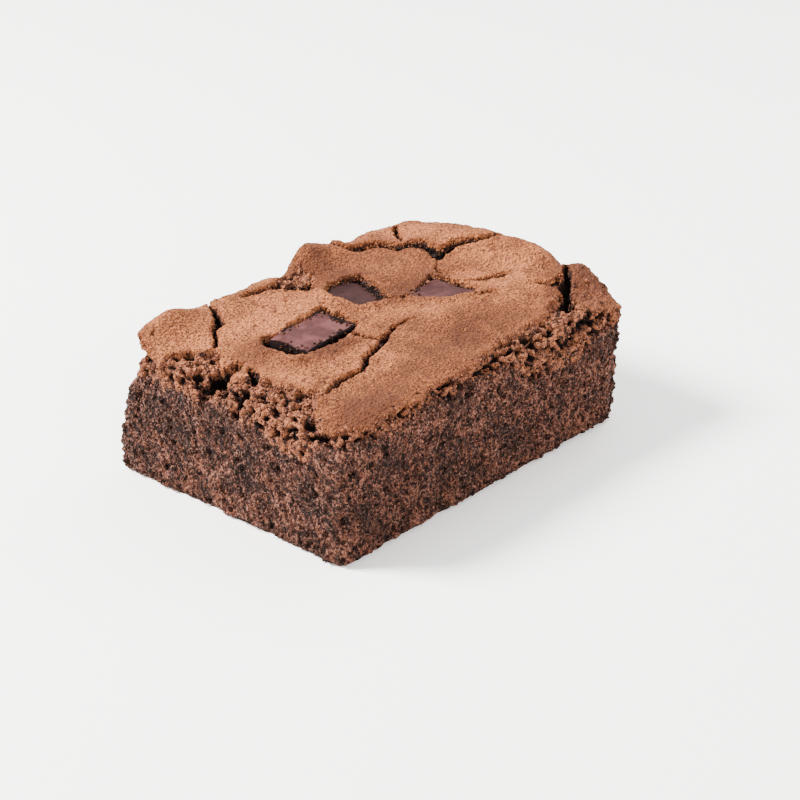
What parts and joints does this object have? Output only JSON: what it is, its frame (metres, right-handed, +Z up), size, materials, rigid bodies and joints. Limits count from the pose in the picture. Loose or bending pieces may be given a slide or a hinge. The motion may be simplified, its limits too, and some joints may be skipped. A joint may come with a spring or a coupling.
{
  "type": "chocolate brownie",
  "caption": "Rectangular slab of chocolate brownie: dense dark crumb under a swollen, cracked pale crust, with chocolate chunks sunk in the top.",
  "frame": {"origin": "middle of the flat underside, on the surface that the slab lies on", "axes": "+X along the slab's long side, +Y across it, +Z up out of the crust"},
  "size_m": [0.0836, 0.0583, 0.0311],
  "materials": {
    "crumb": "matte, porous baked crumb with a dry crust",
    "chocolate": "satin chocolate"
  },
  "bodies": {
    "root": {"brownie": "crumb", "chocolate_chunk_left": "chocolate", "chocolate_chunk_middle": "chocolate", "chocolate_chunk_right": "chocolate"}
  },
  "joints": []
}
